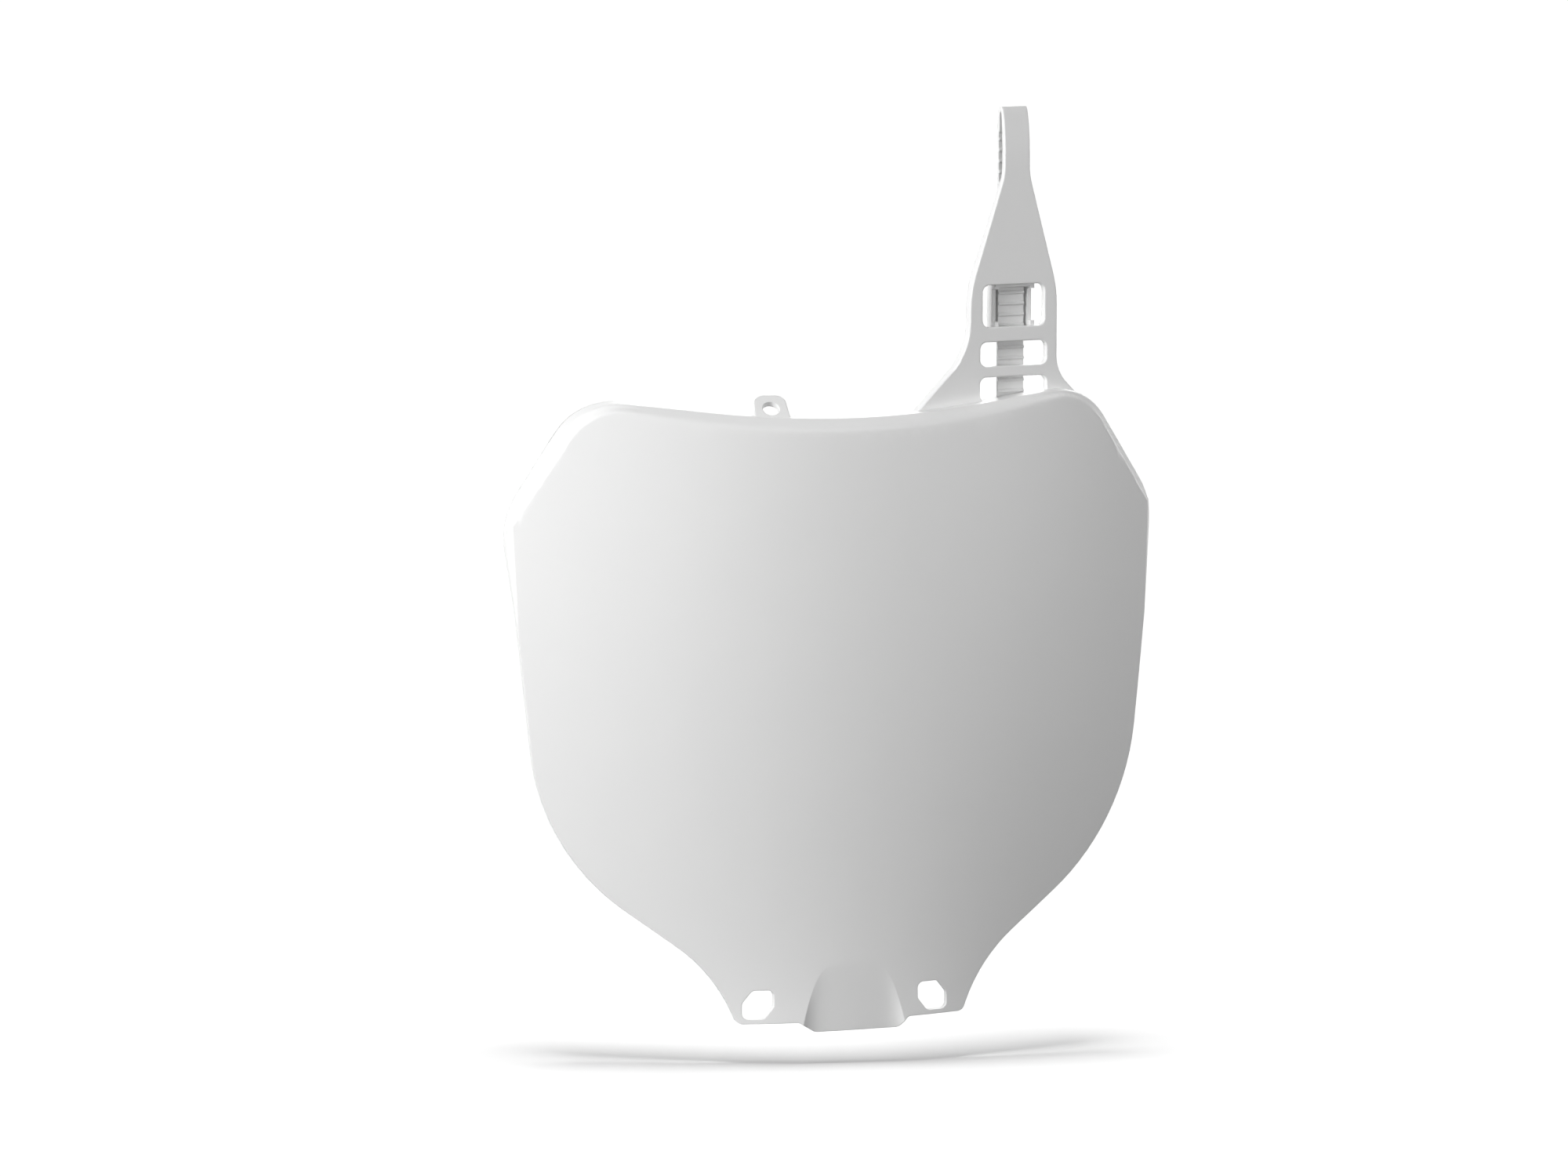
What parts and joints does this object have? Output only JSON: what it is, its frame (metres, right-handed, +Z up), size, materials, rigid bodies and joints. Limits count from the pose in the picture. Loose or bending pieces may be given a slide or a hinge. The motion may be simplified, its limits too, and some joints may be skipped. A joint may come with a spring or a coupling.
{
  "type": "racing number board",
  "caption": "Curved shield-shaped plastic number board for the front of an off-road motorcycle, with lower slots, a screw lug and a ribbed strap that loops over the handlebar.",
  "frame": {"origin": "midway between the two lower slots, at the mean depth of the front of the wall at them", "axes": "+Z up along the board, +X to the right of a person who faces the board, the face looks along -Y"},
  "size_m": [0.2482, 0.034, 0.338],
  "materials": {
    "white_plastic": "semi-gloss injection-moulded polypropylene, fine mould grain"
  },
  "bodies": {
    "root": {"number_board": "white_plastic"}
  },
  "joints": []
}
